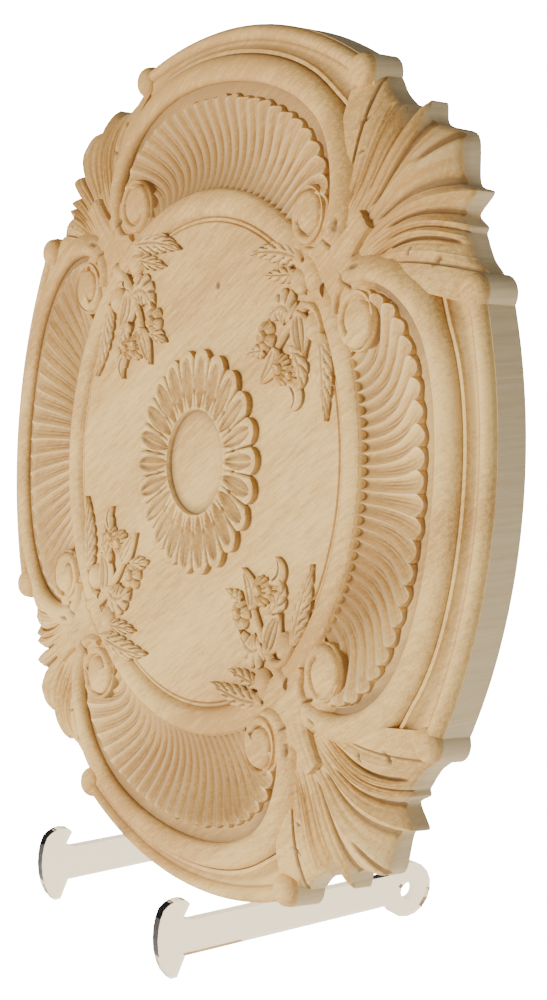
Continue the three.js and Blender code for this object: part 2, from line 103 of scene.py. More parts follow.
QUARTERS = [Matrix.Rotation(k * pi / 2, 4, "Z") for k in range(4)]
MIRROR = Matrix.Scale(-1, 4, (1, 0, 0))
BOTH_SIDES = [turn @ side for turn in QUARTERS for side in (Matrix.Identity(4), MIRROR)]
EACH_QUARTER = [Matrix.Identity(4), MIRROR, QUARTERS[2], QUARTERS[2] @ MIRROR]


# Settings that a user would change


class MedallionSizes(bpy.types.PropertyGroup):
    """Depths and counts of the carving"""

    flutes: IntProperty(name="Flutes", description="Flutes in each shell", default=24, min=8)
    petals: IntProperty(name="Petals", description="Petals round the rosette", default=22, min=8)
    flute_depth: FloatProperty(
        name="Flute depth", description="Depth of a flute near the ring", default=0.0055,
        unit="LENGTH", subtype="DISTANCE")
    leaf_groove: FloatProperty(
        name="Leaf groove", description="How deep the cuts of a corner fan are, 1 as drawn", default=1.0,
        min=0.3, max=1.3)
    petal_groove: FloatProperty(
        name="Petal groove", description="Depth of the channels in a petal", default=0.003,
        unit="LENGTH", subtype="DISTANCE")


class MedallionFinish(bpy.types.PropertyGroup):
    """Tones of the wood and the plastic"""

    pale: StringProperty(name="Pale wood", description="Lightest boards, sRGB hex", default="E2BB72")
    warm: StringProperty(name="Warm wood", description="Darker boards, sRGB hex", default="BA8E4F")
    # Brown of the knot, and of the painted shade laid in cuts, hollows and along the walls
    knot_and_shade: StringProperty(name="Recess", description="Wood deep in a cut, sRGB hex", default="795A38")
    # Painted highlight: the paler tone laid on sharp crests and ridges
    painted_highlight: StringProperty(name="Crest", description="Ridges that the sanding polished, sRGB hex",
                          default="F5D9A2")
    edge_pale: StringProperty(name="Pale edge", description="Board edges at the sides, sRGB hex",
                              default="E4CFA2")
    edge_dark: StringProperty(name="Dark edge", description="Darker lines in the edges, sRGB hex",
                              default="CCB082")
    grain: FloatProperty(
        name="Grain spacing", description="Between two fine grain lines", default=0.0018,
        unit="LENGTH", subtype="DISTANCE")
    plastic: StringProperty(name="Plastic", description="Tint of the clear stand, sRGB hex",
                            default="EAD8B4")
    light: FloatVectorProperty(
        name="Key light", description="Where the large soft light hangs", default=(-0.85, -3.9, 0.4),
        unit="LENGTH", subtype="TRANSLATION")


# Small tools for carving in the face


def mm(length):
    """A length in metres in the face's units."""
    return length * DRAWN_REACH / REACH


def mix(a, b, share):
    """A at share 0, b at share 1."""
    return a + (b - a) * share


def ease(low, high, value):
    """0 below low, 1 above high, and a smooth step between."""
    part = np.clip((value - low) / (high - low), 0, 1)
    return part * part * (3 - 2 * part)


def line(distance, width):
    """Depth, 0 to 1, of a fine cut at distance 0."""
    return np.exp(-(distance / width) ** 2)


def bezier(start, control, end, way):
    """Points of a quadratic curve. Its ends may be arrays of points."""
    return start * (1 - way) ** 2 + 2 * control * way * (1 - way) + end * way**2


def lobe_line(knots, side):
    """Points and outward normals of a smooth curve over a lobe. Side runs from -1 to 1 along it.

    The knots are half of the curve, from the lobe's axis outwards.
    """
    between = 16  # points from one knot to the next
    half = np.array(knots, dtype=float)
    whole = np.vstack([half[:0:-1] * (-1, 1), half])
    ends = np.vstack([2 * whole[0] - whole[1], whole, 2 * whole[-1] - whole[-2]])
    way = np.linspace(0, 1, between, endpoint=False)[:, None]
    dense = [whole[-1:]]
    for a, b, c, d in reversed(list(zip(ends, ends[1:], ends[2:], ends[3:]))):
        dense.insert(0, b + 0.5 * way * (c - a + way * (2 * a - 5 * b + 4 * c - d
                                                        + way * (3 * b - a - 3 * c + d))))
    dense = np.vstack(dense)
    length = np.concatenate([[0], np.cumsum(np.hypot(*np.diff(dense, axis=0).T))])
    at = (np.asarray(side) + 1) / 2 * length[-1]
    heading = np.gradient(dense, axis=0)
    heading = heading / np.hypot(*heading.T)[:, None]
    point = np.stack([np.interp(at, length, dense[:, k]) for k in (0, 1)])
    normal = np.stack([-np.interp(at, length, heading[:, 1]), np.interp(at, length, heading[:, 0])])
    return point, normal


def shell_edge(side):
    """The line of a shell's scalloped edge."""
    return lobe_line([(0, 254.3), (30, 252), (52, 248), (72, 242.3), (90, 235), (105, 226), (118, 213.5),
                      (126.5, 200), (130.8, 187), (131.3, 175)], side)


def roll_line(side):
    """The middle line of the roll round a lobe, which curls in at both ends."""
    return lobe_line([(0, 273.5), (35, 271.5), (65, 266), (90, 257.5), (112, 245), (129, 229.5),
                      (140.5, 211), (146, 191), (145, 172), (138.5, 158), (127, 150.5), (114, 151)], side)


def rim_reach(angle, inset=0.0):
    """Reach of a lobe's rim arc at an angle from the lobe's axis."""
    radius = DRAWN_REACH + RIM_ARC_BEYOND - inset
    return -RIM_ARC_BEYOND * np.cos(angle) + np.sqrt(radius**2 - (RIM_ARC_BEYOND * np.sin(angle)) ** 2)


def hollows(height, near):
    """How far each point of a height grid lies under its neighbours, 1 in a deep cut, -1 on a crest.

    Near is how many rows and columns away the neighbours reach.
    """
    deep = 1.6  # a point this far under its neighbours is deep in a cut
    total = np.zeros_like(height)
    rows, columns = near
    for i in range(-rows, rows + 1):
        for j in range(-columns, columns + 1):
            down = np.clip(np.arange(height.shape[0]) + i, 0, height.shape[0] - 1)
            over = np.clip(np.arange(height.shape[1]) + j, 0, height.shape[1] - 1)
            total += height[np.ix_(down, over)]
    mean = total / ((2 * rows + 1) * (2 * columns + 1))
    return np.clip((mean - height) / deep, -1, 1)


def slit(x, y, place, toward, length, width):
    """1 inside a short cut of the knife, 0 away from it."""
    size = np.hypot(*toward)
    along = ((x - place[0]) * toward[0] + (y - place[1]) * toward[1]) / size
    across = ((x - place[0]) * toward[1] - (y - place[1]) * toward[0]) / size
    return np.exp(-(along / (length / 2)) ** 4 - (across / width) ** 2)


def knife_cuts(x, y):
    """1 inside the three short cuts between a corner's husk and the roll above it."""
    return (slit(x, y, (145, 170), (0.2, 1), 9, 1.5) + slit(x, y, (133, 163), (-0.5, 1), 8, 1.2)
            + slit(x, y, (140, 156), (-0.8, 0.67), 11, 1.4))


def carved(x, y, w, root, near=(2, 3), added_shade=0, seam=0.8, outline=0.0, highlight_limit=0.3):
    """A closed carved form: a grid of points for its front, and walls from its edge down to the root.

    Hollows are painted brown as shade by how far they lie under their neighbours and by the added amount;
    seam is the painted shade at the foot of the walls and outline the painted shade along their top. Walls
    without a seam are the medallion's open sides and get no painted shade. Crests are painted paler as a
    highlight, down to the given limit.
    """
    x, y, w = np.broadcast_arrays(x, y, w)
    rows, columns = w.shape[0] - 1, w.shape[1] - 1
    form = bmesh.new()
    painted_shading = form.verts.layers.float.new("painted_shading")
    bmesh.ops.create_grid(form, x_segments=columns, y_segments=rows, size=0.5)
    # Painted shade in hollows and painted highlight on crests, from the height grid
    shade = np.clip(hollows(w, near) + added_shade, -highlight_limit, 1)
    for vert in form.verts:
        i = round((vert.co.y + 0.5) * rows)
        j = round((vert.co.x + 0.5) * columns)
        vert.co = (x[i, j], y[i, j], w[i, j])
        vert[painted_shading] = shade[i, j]
    bmesh.ops.remove_doubles(form, verts=form.verts, dist=1e-3)
    edge = [e for e in form.edges if e.is_boundary]
    # Painted shade along the top edge and at the foot of the walls; open sides get none
    for vert in {vert for e in edge for vert in e.verts}:
        vert[painted_shading] = max(vert[painted_shading], outline) if seam else min(vert[painted_shading], 0)
    walls = bmesh.ops.extrude_edge_only(form, edges=edge)["geom"]
    for vert in (part for part in walls if isinstance(part, bmesh.types.BMVert)):
        vert.co.z = root
        vert[painted_shading] = seam
    low = [part for part in walls if isinstance(part, bmesh.types.BMEdge)]
    bmesh.ops.contextual_create(form, geom=[e for e in low if e.is_boundary])
    bmesh.ops.recalc_face_normals(form, faces=form.faces)
    return form


def turned(profile, steps, grooves, added_shade=0.45):
    """A closed turned form from its half profile, a list of (radius, height).

    Grooves are the radii of its fine grooves, which get painted shade as dark as the given amount.
    """
    form = bmesh.new()
    painted_shading = form.verts.layers.float.new("painted_shading")
    points = [form.verts.new((r, 0, w)) for r, w in profile]
    outline = [form.edges.new(pair) for pair in zip(points, points[1:])]
    bmesh.ops.spin(form, geom=points + outline, cent=(0, 0, 0), axis=(0, 0, 1), angle=2 * pi,
                   steps=steps, use_merge=True)
    bmesh.ops.remove_doubles(form, verts=form.verts, dist=1e-4)
    bmesh.ops.recalc_face_normals(form, faces=form.faces)
    for vert in form.verts:
        if any(abs(vert.co.xy.length - groove) < 0.5 for groove in grooves):
            vert[painted_shading] = added_shade
    return form


def gathered(forms, places=(Matrix.Identity(4),)):
    """One form that holds every given form at every given place. Mirrored copies are turned back."""
    whole = bmesh.new()
    whole.verts.layers.float.new("painted_shading")
    for form in forms:
        one = bpy.data.meshes.new("one")
        form.to_mesh(one)
        form.free()
        for place in places:
            verts, faces = len(whole.verts), len(whole.faces)
            whole.from_mesh(one)
            whole.verts.ensure_lookup_table()
            whole.faces.ensure_lookup_table()
            bmesh.ops.transform(whole, matrix=place, verts=whole.verts[verts:])
            if place.determinant() < 0:
                bmesh.ops.reverse_faces(whole, faces=whole.faces[faces:])
        bpy.data.meshes.remove(one)
    return whole


def finished(name, form, sharp=50):
    """The carved form as a piece of the medallion, in its place on the back and in wood."""
    bmesh.ops.transform(form, matrix=FACE, verts=form.verts)
    mesh = bpy.data.meshes.new(name)
    form.to_mesh(mesh)
    form.free()
    mesh.shade_smooth()
    mesh.set_sharp_from_angle(angle=radians(sharp))
    mesh.materials.append(sanded_pale_wood())
    piece = bpy.data.objects.new(name, mesh)
    bpy.context.scene.collection.objects.link(piece)
    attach(piece, "root")
    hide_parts("medallion")
    return piece


# Materials


def linear(hex_code):
    """An sRGB hex colour as linear RGBA."""
    parts = [int(hex_code[i:i + 2], 16) / 255 for i in (0, 2, 4)]
    return [p / 12.92 if p <= 0.04045 else ((p + 0.055) / 1.055) ** 2.4 for p in parts] + [1.0]


def add_node(tree, kind, values=None, **settings):
    """A new node with its settings. Values are numbers, colours or sockets, by input name or number."""
    made = tree.nodes.new(kind)
    for key, value in settings.items():
        setattr(made, key, value)
    for key, value in (values or {}).items():
        if isinstance(value, bpy.types.NodeSocket):
            tree.links.new(value, made.inputs[key])
        else:
            made.inputs[key].default_value = value
    return made


def new_material(name):
    """A material with an empty node tree, and that tree."""
    material = bpy.data.materials.new(name)
    material.use_nodes = True
    material.node_tree.nodes.clear()
    return material, material.node_tree


def sanded_pale_wood():
    """Unfinished pale hardwood, machine carved and sanded.

    Dry and matt, with fine fibres and faint wide bands that run up to the right, and a small knot. Narrow
    deep cuts and hollows are painted brown as shade, and sharp crests are painted paler as a highlight.
    The sides show the boards' edges.
    """
    made = bpy.data.materials.get("unfinished_hardwood")
    if made:
        return made
    finish = bpy.context.scene.medallion_finish
    made, tree = new_material("unfinished_hardwood")
    place = add_node(tree, "ShaderNodeTexCoord").outputs["Object"]
    outward = FACE.col[2].xyz.normalized()

    def blend(factor, first, second):
        return add_node(tree, "ShaderNodeMix", {"Factor": factor, "A": first, "B": second},
                        data_type="RGBA").outputs["Result"]

    def spread(value, low, high, first=0.0, last=1.0):
        return add_node(tree, "ShaderNodeMapRange",
                        {0: value, 1: low, 2: high, 3: first, 4: last}).outputs[0]

    def outwards(vector):
        return add_node(tree, "ShaderNodeVectorMath", {0: vector, 1: outward},
                        operation="DOT_PRODUCT").outputs["Value"]

    # Boards run up to the right across the face, a hand's breadth wide
    slope = (0, radians(-34), 0)
    board = add_node(tree, "ShaderNodeMapping", {"Vector": place, "Rotation": slope,
                                                 "Scale": (1, 0.3, 0.09)}, vector_type="TEXTURE")
    bands = add_node(tree, "ShaderNodeTexNoise", {"Vector": board.outputs[0], "Scale": 1.2,
                                                  "Detail": 1.0, "Roughness": 0.5})

    # Fibres: long in the board's direction, about two millimetres apart so that they still show
    fibre_place = add_node(tree, "ShaderNodeMapping", {
        "Vector": place, "Rotation": slope, "Scale": (11 * finish.grain, finish.grain, finish.grain)},
        vector_type="TEXTURE")
    fibres = add_node(tree, "ShaderNodeTexNoise", {"Vector": fibre_place.outputs[0], "Scale": 0.7,
                                                   "Detail": 5.0, "Roughness": 0.7})
    speckle = add_node(tree, "ShaderNodeTexNoise", {"Vector": place, "Scale": 1.5 / finish.grain,
                                                    "Detail": 2.0, "Roughness": 0.6})
    tone = add_node(tree, "ShaderNodeMath", {0: spread(bands.outputs[0], 0.36, 0.66, 1.0, 0.0),
                                             1: spread(fibres.outputs[0], 0.3, 0.7, -0.48, 0.48)},
                    operation="ADD")
    tone = add_node(tree, "ShaderNodeMath", {0: tone.outputs[0],
                                             1: spread(speckle.outputs[0], 0.3, 0.7, -0.25, 0.25)},
                    operation="ADD", use_clamp=True)
    colour = blend(tone.outputs[0], linear(finish.pale), linear(finish.warm))

    # One small knot in the upper field, 3 mm across at its core
    knot_away = add_node(tree, "ShaderNodeVectorMath", {0: place, 1: FACE @ Vector((*KNOT, FIELD))},
                         operation="DISTANCE").outputs["Value"]
    core, rim = 0.0016, 0.0036
    colour = blend(spread(knot_away, core, rim, 1.0, 0.0), colour, linear(finish.knot_and_shade))

    # The boards' edges on the sides: greyer, with fine lines across them
    from_back = add_node(tree, "ShaderNodeVectorMath", {0: place, 1: BACK_CENTRE}, operation="SUBTRACT")
    height = outwards(from_back.outputs[0])
    facing = outwards(add_node(tree, "ShaderNodeNewGeometry").outputs["Normal"])
    edge_place = add_node(tree, "ShaderNodeMapping", {"Vector": place, "Rotation": (-LEAN, 0, 0),
                                                      "Scale": (40, 12, 330)})
    edge_lines = add_node(tree, "ShaderNodeTexNoise", {"Vector": edge_place.outputs[0], "Scale": 1.0,
                                                       "Detail": 4.0, "Roughness": 0.65})
    edge_tone = blend(spread(edge_lines.outputs[0], 0.2, 0.8), linear(finish.edge_pale),
                      linear(finish.edge_dark))
    at_side = add_node(tree, "ShaderNodeMath", {0: spread(height, 0.021, 0.0225, 1.0, 0.0),
                                                1: spread(facing, 0.15, 0.45, 1.0, 0.0)},
                       operation="MULTIPLY")
    colour = blend(at_side.outputs[0], colour, edge_tone)

    # Painted highlight: sharp crests are painted paler. Painted shade: hollows, cuts and wall feet are
    # painted brown
    painted_shading = add_node(tree, "ShaderNodeAttribute", attribute_name="painted_shading").outputs["Fac"]
    colour = blend(spread(painted_shading, -0.25, -1.0, 0.0, 0.65), colour, linear(finish.painted_highlight))
    shaded_colour = blend(spread(painted_shading, 0.02, 0.7, 0.0, 0.75), colour, linear(finish.knot_and_shade))
    bump = add_node(tree, "ShaderNodeBump", {"Strength": 0.3, "Distance": 0.0007,
                                             "Height": fibres.outputs[0]})
    shader = add_node(tree, "ShaderNodeBsdfPrincipled", {
        "Base Color": shaded_colour, "Roughness": 0.7, "IOR": 1.45, "Specular IOR Level": 0.25,
        "Normal": bump.outputs[0]})
    add_node(tree, "ShaderNodeOutputMaterial", {"Surface": shader.outputs[0]})
    return made


def clear_acrylic():
    """Clear moulded acrylic with polished faces: see-through, faintly warm, with bright edges."""
    finish = bpy.context.scene.medallion_finish
    made, tree = new_material("clear_acrylic")
    shader = add_node(tree, "ShaderNodeBsdfPrincipled", {
        "Base Color": linear(finish.plastic), "Roughness": 0.03, "IOR": 1.49,
        "Transmission Weight": 1.0})
    add_node(tree, "ShaderNodeOutputMaterial", {"Surface": shader.outputs[0]})
    return made


# Carving


def board_form():
    """The lobed board behind everything, as high as the plain side wall."""
    inside = 0.05  # how far its wall stands back from the rim's arc
    corner_reach, corner_half = 262, radians(12)
    outline = []
    for k in range(4):
        axis = k * pi / 2
        corner = axis + pi / 4
        for angle in np.linspace(-RIM_SPREAD, RIM_SPREAD, 85):
            outline.append((rim_reach(angle) - inside, axis + angle))
        outline += [(corner_reach, corner - corner_half), (corner_reach, corner + corner_half)]
    form = bmesh.new()
    form.verts.layers.float.new("painted_shading")
    verts = [form.verts.new((r * cos(a), r * sin(a), 0)) for r, a in outline]
    face = form.faces.new(verts)
    raised = bmesh.ops.extrude_face_region(form, geom=[face])["geom"]
    for vert in (part for part in raised if isinstance(part, bmesh.types.BMVert)):
        vert.co.z = RIM
    bmesh.ops.bevel(form, geom=[e for e in form.edges if abs(e.verts[0].co.z - e.verts[1].co.z) < 1],
                    offset=0.5, offset_type="OFFSET", affect="EDGES", segments=2, profile=0.5,
                    material=-1)
    bmesh.ops.recalc_face_normals(form, faces=form.faces)
    return form


def field_form():
    """The turned field inside two fine grooves, and the low flat ring round it."""
    profile = [
        (0, FIELD), (60, FIELD), (120, FIELD), (165.5, FIELD), (167.4, 35.7), (168.3, 33.9),
        (169.2, 35.2), (170.6, 35.3), (171.6, 33.6), (172.5, 35.2), (173.8, 37.3), (175.6, 38.6),
        (178, 39.2), (181.5, 39.6), (185, 39.2), (187.6, 38.3), (189.6, 37.0), (191, 35.4),
        (191.4, 33.5), (191.6, SUNK), (0, SUNK),
    ]
    # The two fine grooves are painted brown as shade
    return turned(profile, 192, grooves=(168.3, 171.6))


def crossing_form():
    """The ground between the ring and a corner fan, nearly as high as the husk that lies on it."""
    v, u = np.mgrid[0:1:101j, 0:1:141j]
    side = 2 * u - 1
    along = mix(174, 250, v)  # from under the ring to under the fan
    across = side * mix(56, 40, v)
    x, y = (along - across) / DIAGONAL, (along + across) / DIAGONAL
    ring_foot = 187.8
    low, high = 38.4, 40.6
    level = mix(low, high, ease(0.1, 0.6, v)) - 3.2 * np.abs(side) ** 2.5 - 7.5 * ease(0.6, 0.76, v)
    cuts = sum(knife_cuts(a, b) for a, b in ((x, y), (y, x)))
    beside_ring = line(np.hypot(x, y) - ring_foot, 1.7)
    level = level - KNIFE_DEPTH * cuts - 2.2 * beside_ring
    # Painted shade in the knife cuts and in the groove beside the ring
    return carved(x, y, level, SUNK, added_shade=cuts + 0.3 * beside_ring)


def shell_form(flutes, depth):
    """A shell: flutes with sharp ridges that end in a scalloped edge over a short cliff."""
    samples, rows = 20, 40  # across a flute, and along it
    v, u = np.mgrid[0:1:(rows + 1) * 1j, 0:1:(flutes * samples + 1) * 1j]
    side = 2 * u - 1
    bulge = np.abs(np.sin(pi * u * flutes))  # 0 on a ridge, 1 in the middle of a flute
    beat = (u * flutes) % 1
    brink = 0.92  # the last rows go down the cliff
    way = np.minimum(v / brink, 1)
    cliff = np.clip((v - brink) / 0.08, 0, 1)
    heading = side * radians(27.5)
    outward = np.stack([np.sin(heading), np.cos(heading)])
    under_ring = 190
    edge, normal = shell_edge(side)
    uneven = 0.8 * np.sin(17 * side) * np.sin(41 * side)
    end = edge + normal * (-2.0 + (2.6 + uneven) * bulge**0.6)
    point = bezier(outward * under_ring, outward * mix(219, 212, side**4), end, way)
    point = point + normal * 1.2 * cliff
    dip = 7.5
    cove = np.sin(pi * way**0.85) * (1 - 0.8 * np.abs(side) ** 5)
    at_ring, at_edge = 36.4, 40.6
    ridge = mix(at_ring, at_edge + 1.4 * ease(0.6, 1, np.abs(side)), way)
    taper = ease(0, 0.03, way) * mix(1, 0.85, ease(0.2, 1, way)) * (1 - 0.4 * np.abs(side) ** 3)
    fine = (line(beat - 0.3, 0.06) + line(beat - 0.5, 0.06) + 0.8 * line(beat - 0.7, 0.06))
    fine = fine * ease(0.05, 0.45, way) * (1 - 0.6 * ease(0.6, 1, way))
    cut = (depth * taper - 0.5) * bulge**0.75 + 0.7 * fine
    lip = 0.5 * ease(0.93, 1, way)
    level = mix(ridge - dip * cove - cut - lip, SHELL_FOOT + 0.6, cliff**0.8)
    # Painted shade in the flute troughs and down the cliff, painted highlight on the ridges
    trough_shade = 1.15 * (bulge - 0.64) * (1 - 0.4 * ease(0.25, 0.95, way))
    return carved(point[0], point[1], level, SUNK, near=(1, 4), added_shade=0.6 * cliff + trough_shade, highlight_limit=1.0)


def frame_form():
    """The frame of a lobe: channel, half-round roll, fillet, cove and bead, out to the side wall.

    The roll rises as it curls in between the volute and the corner fan.
    """
    side = np.linspace(-1, 1, 301)
    edge, normal = shell_edge(side)
    line_point, line_normal = roll_line(side)
    curl = ease(0.45, 0.78, np.abs(side))
    width = 9.5 + 1.2 * curl - 6.2 * ease(0.8, 1, np.abs(side))
    dive = 9 * ease(0.45, 0.66, np.abs(side))
    top = 39 + 3.6 * curl - 1.6 * ease(0.85, 1, np.abs(side))
    fillet = [(0.4, 28.2), (0.8, 30.3), (2.1, 30.5), (3.4, 30.0), (3.8, 28.2)]  # out from the roll, level
    bead = [(13, 25.5), (11.5, 25.3), (10.2, 26.6), (8.6, 27.8), (7, 28.2), (5.2, 28.0), (3.4, 27.0),
            (2, 25.4), (1.1, 23.8), (0.6, 22.0)]  # in from the rim, level
    rows = []

    def row(point, level):
        rows.append((point[0], point[1], np.broadcast_to(level, side.shape)))

    def beside(across, level):
        row(line_point + line_normal * across, level)

    foot = SHELL_FOOT + 1.5 * curl + 1.5 * ease(0.85, 1, np.abs(side))
    row(edge - normal * 5, foot)
    row(edge + normal * 1.5, foot)
    outer = 28.5 - dive
    for part in np.linspace(0, 1, 19):
        base = mix(foot, outer, part)
        beside(-width * cos(pi * part), base + (top - (foot + outer) / 2) * sin(pi * part) ** 0.8)
    for out, level in fillet:
        beside(width + out, level - dive)

    swing = np.interp(np.abs(side), (0, 0.625, 1), (0, radians(27.2), RIM_SPREAD))
    angle = swing * np.sign(side)
    around = np.stack([np.sin(angle), np.cos(angle)])
    fillet_out, fillet_foot = fillet[-1]
    bead_in, bead_foot = bead[0]
    first = line_point + line_normal * (width + fillet_out)
    last = around * rim_reach(angle, bead_in)
    for part in (0.3, 0.6, 0.85):
        row(mix(first, last, part), mix(fillet_foot - dive, bead_foot, part) - 0.9 * sin(pi * part))
    for inset, level in bead:
        row(around * rim_reach(angle, inset), level - 2.5 * ease(0.75, 1, np.abs(side)))
    x, y, w = (np.array(part) for part in zip(*rows))
    cuts = knife_cuts(np.abs(x), y)
    # Painted shade in the knife cuts; the open side walls get none
    return carved(x, y, w - KNIFE_DEPTH * cuts, SUNK, near=(2, 1), added_shade=cuts, seam=0.0)


def volute_form():
    """A volute: a smooth domed eye, and one turn of a rounded band that winds out from it."""
    v, u = np.mgrid[0:1:31j, 0:1:97j]
    radius, eye, pitch = 20, 11.4, 7.6
    eye_foot, band_foot = 38.4, 38.6
    band_start = 0.58  # as a share of a turn
    r = radius * v
    angle = 2 * pi * u
    turn = (u - band_start) % 1
    wound = (r - eye) / pitch - turn
    count = np.floor(wound)
    within = wound - count
    dome = np.sqrt(np.clip(1 - (r / (eye + pitch * turn)) ** 2, 0, 1))
    band = (4 * within * (1 - within)) ** 0.5
    level = np.where(count < 0, mix(eye_foot, FACE_TOP, dome), band_foot + 2.6 * band)
    start = ease(0, 0.12, turn + np.maximum(np.round(wound), 0))
    groove = line(wound - np.round(wound), 0.16) * start * (np.round(wound) >= 0)
    level = mix(level - 2.2 * groove, 36.5, ease(0.93, 1.0, v))
    x, y = VOLUTE
    # Painted shade at the foot of the walls, and in the hollows between the band's turns
    return carved(x + r * np.cos(angle), y + r * np.sin(angle), level, SUNK, near=(2, 4))


def knob_form():
    """The rolled end of a lobe's rim."""
    v, u = np.mgrid[0:1:13j, 0:1:37j]
    radius, foot, rise = 11.8, 21, 9.4
    r = radius * v
    angle = 2 * pi * u
    level = foot + rise * np.sqrt(np.clip(1 - v**3, 0, 1))
    x, y = RIM_END
    return carved(x + r * np.cos(angle), y + r * np.sin(angle), level, ROOT, seam=0.0)


# Lines of half a corner fan, from its diagonal out to the roll of a lobe, for the half above the
# diagonal: where each starts under the husk, where it bends, where it ends, how far it droops there,
# and how deep and from where on it is cut. Whole orders are crests of leaves, halves the cuts between.

FAN_LINES = np.array([
    # order, start x and y, bend x and y, end x and y, droop, cut, cut from
    (0.0, 161.0, 161.0, 205, 205, 231.5, 231.5, 22, 0.0, 0.0),
    (0.5, 158.5, 163.5, 198, 207, 199.0, 235.5, 17, 4.8, 0.2),
    (1.0, 156.0, 166.0, 190, 207, 196.5, 252.0, 22, 0.0, 0.0),
    (1.5, 153.5, 168.4, 185, 208, 181.5, 237.0, 17, 5.0, 0.3),
    (2.0, 151.0, 170.6, 182, 211, 175.0, 248.5, 19, 0.0, 0.0),
    (2.5, 149.0, 172.2, 179, 212, 171.0, 246.5, 17, 3.2, 0.25),
    (3.0, 147.0, 173.4, 177, 213, 168.0, 248.5, 18, 0.0, 0.0),
    (3.5, 145.0, 174.4, 174, 214, 163.5, 251.0, 17, 6.0, 0.0),
    (4.0, 145.0, 175.4, 163, 213, 155.5, 256.5, 20, 0.0, 0.0),
    (4.5, 143.0, 175.8, 154, 213, 147.5, 267.0, 19, 2.0, 0.1),
    (5.0, 139.0, 176.0, 137, 214, 127.0, 274.0, 19, 0.0, 0.0),
]).T


def fan_form(groove):
    """A corner fan: leaves start side by side under the husk, flare out and droop to pointed tips.

    Groove scales the cuts between the leaves, 1 as they are drawn.
    """
    samples, rows = 28, 64  # between two crests, and along them
    last = FAN_LINES[0, -1]
    v, u = np.mgrid[0:1:(rows + 1) * 1j, 0:1:(2 * last * samples + 1) * 1j]
    side = 2 * u - 1
    order = np.abs(side) * last
    inside = order < last
    leafy = order < 4.5
    start_x, start_y, bend_x, bend_y, end_x, end_y, droop, depth, begin = (
        np.interp(order, FAN_LINES[0], values) for values in FAN_LINES[1:])
    x = bezier(start_x, bend_x, end_x, v)
    y = bezier(start_y, bend_y, end_y, v)
    x, y = np.where(side < 0, x, y), np.where(side < 0, y, x)
    for _ in range(6):  # rounds the tips in plan
        x, y = (mix(p, (np.roll(p, 1, 1) + np.roll(p, -1, 1)) / 2, inside * v**6) for p in (x, y))

    half = np.round(order * 2) / 2
    depth, begin = (np.interp(half, FAN_LINES[0], values) for values in FAN_LINES[-2:])
    away = order - half  # 0 on a crest or in a cut, a quarter half way to the next
    crown = 36.4 + 1.8 * np.sin(pi * v) - droop * v**3.6 - 1.5 * ease(0.95, 1, v)
    scoop = 2.6 * (2 * np.abs(order - np.round(order))) ** 0.6 * ease(0.02, 0.35, v) * leafy
    cut = depth * (0.7 * line(away, 0.1) + 0.3 * line(away, 0.22)) * ease(begin, begin + 0.12, v)
    deepest = half == 3.5  # runs out before the edge, between two leaves that grow together
    cut = np.where(deepest, cut * (1 - 0.9 * ease(0.85, 0.98, v)), cut)
    tip_groove = line(order, 0.05) * ease(0.6, 0.78, v)
    ridge = 1.4 * np.clip(1 - order / 0.4, 0, 1) * ease(0.15, 0.5, v) - 5.0 * tip_groove
    veins = sum(line(order % 1 - beside, 0.06) for beside in (0.27, 0.73))
    veins = 0.8 * veins * ease(0.03, 0.2, v) * (1 - ease(0.75, 0.95, v)) * leafy
    notches = sum(slit(a, b, (157, 216), (1, 0.5), 7, 1.0) + slit(a, b, (152, 237), (1, 0.6), 8, 1.0)
                  for a, b in ((x, y), (y, x)))
    level = crown - scoop - groove * cut + ridge - veins - 2.2 * notches
    thinnest = 8
    # Painted shade in the notches and faintly all over, painted highlight on the crests
    return carved(x, y, np.maximum(level, thinnest), ROOT, near=(2, 5), added_shade=0.7 * notches + 0.04,
                  seam=0.0, highlight_limit=0.5)


def husk_form():
    """The tongue on the diagonal, which rises softly out of the ring and ends squarely over the fan."""
    v, u = np.mgrid[0:1:49j, 0:1:41j]
    side = 2 * u - 1
    along = mix(130, 175.5, v) * DIAGONAL - 1.2 * side**2 * v
    across = side * mix(21, 7.6, ease(0, 1, v**0.6))
    x, y = (along - across) / DIAGONAL, (along + across) / DIAGONAL
    low, rise = 37.6, 5.1
    rib = 0.35 * np.cos(3 * pi * side) * ease(0.2, 0.6, v)
    round_edge = mix(3.2, 2.0, v) * np.abs(side) ** 3
    level = low + rise * ease(0, 0.7, v) + rib - round_edge - 1.0 * ease(0.97, 1, v)
    # Painted shade at the foot of the walls
    return carved(x, y, np.minimum(level, FACE_TOP), SUNK, near=(1, 3), seam=0.5)


